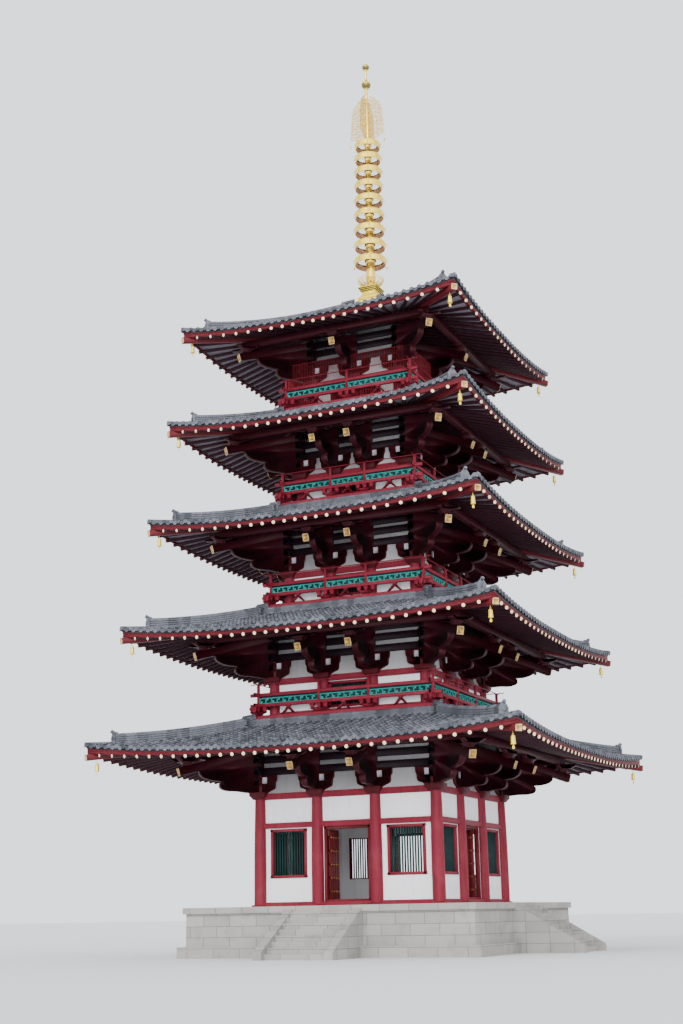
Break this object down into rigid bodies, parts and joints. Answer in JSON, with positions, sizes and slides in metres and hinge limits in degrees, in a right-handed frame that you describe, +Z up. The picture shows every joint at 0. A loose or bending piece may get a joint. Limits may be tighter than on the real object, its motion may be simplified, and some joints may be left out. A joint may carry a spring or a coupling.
{
  "type": "five-storey timber pagoda",
  "caption": "Square timber pagoda on a stone platform, with hollow storeys, cloud-shaped brackets, tiled hipped roofs, railed balconies and a ringed gilt finial.",
  "frame": {"origin": "centre of the platform's underside, at ground level", "axes": "+Z up along the central mast, -Y out of the front, +X out of the right side"},
  "size_m": [17.2192, 17.2192, 39.2],
  "materials": {
    "vermilion_timber": "red paint, weathered",
    "eave_timber": "dark red paint, dusty underneath",
    "door_timber": "red painted boards",
    "plaster": "matt white plaster",
    "stone": "dressed granite",
    "tile": "fired grey tile, weathered",
    "gilt": "gilded metal"
  },
  "bodies": {
    "root": {"platform": "stone", "steps_front": "stone", "steps_right": "stone", "steps_back": "stone", "steps_left": "stone", "door_front": "door_timber", "door_right": "door_timber", "door_back": "door_timber", "door_left": "door_timber", "frame_1": "vermilion_timber", "walls_1": "plaster", "beams_1": "vermilion_timber", "brackets_1": "vermilion_timber", "eaves_1": "eave_timber", "roof_tiles_1": "tile", "floor_2": "vermilion_timber", "balcony_2": "vermilion_timber", "railing_2": "vermilion_timber", "frame_2": "vermilion_timber", "walls_2": "plaster", "beams_2": "vermilion_timber", "brackets_2": "vermilion_timber", "eaves_2": "eave_timber", "roof_tiles_2": "tile", "floor_3": "vermilion_timber", "balcony_3": "vermilion_timber", "railing_3": "vermilion_timber", "frame_3": "vermilion_timber", "walls_3": "plaster", "beams_3": "vermilion_timber", "brackets_3": "vermilion_timber", "eaves_3": "eave_timber", "roof_tiles_3": "tile", "floor_4": "vermilion_timber", "balcony_4": "vermilion_timber", "railing_4": "vermilion_timber", "frame_4": "vermilion_timber", "walls_4": "plaster", "beams_4": "vermilion_timber", "brackets_4": "vermilion_timber", "eaves_4": "eave_timber", "roof_tiles_4": "tile", "floor_5": "vermilion_timber", "balcony_5": "vermilion_timber", "railing_5": "vermilion_timber", "frame_5": "vermilion_timber", "walls_5": "plaster", "beams_5": "vermilion_timber", "brackets_5": "vermilion_timber", "eaves_5": "eave_timber", "roof_tiles_5": "tile", "finial_base": "gilt", "finial_lotus": "gilt", "finial_mast": "gilt", "finial_flame": "gilt"}
  },
  "joints": []
}
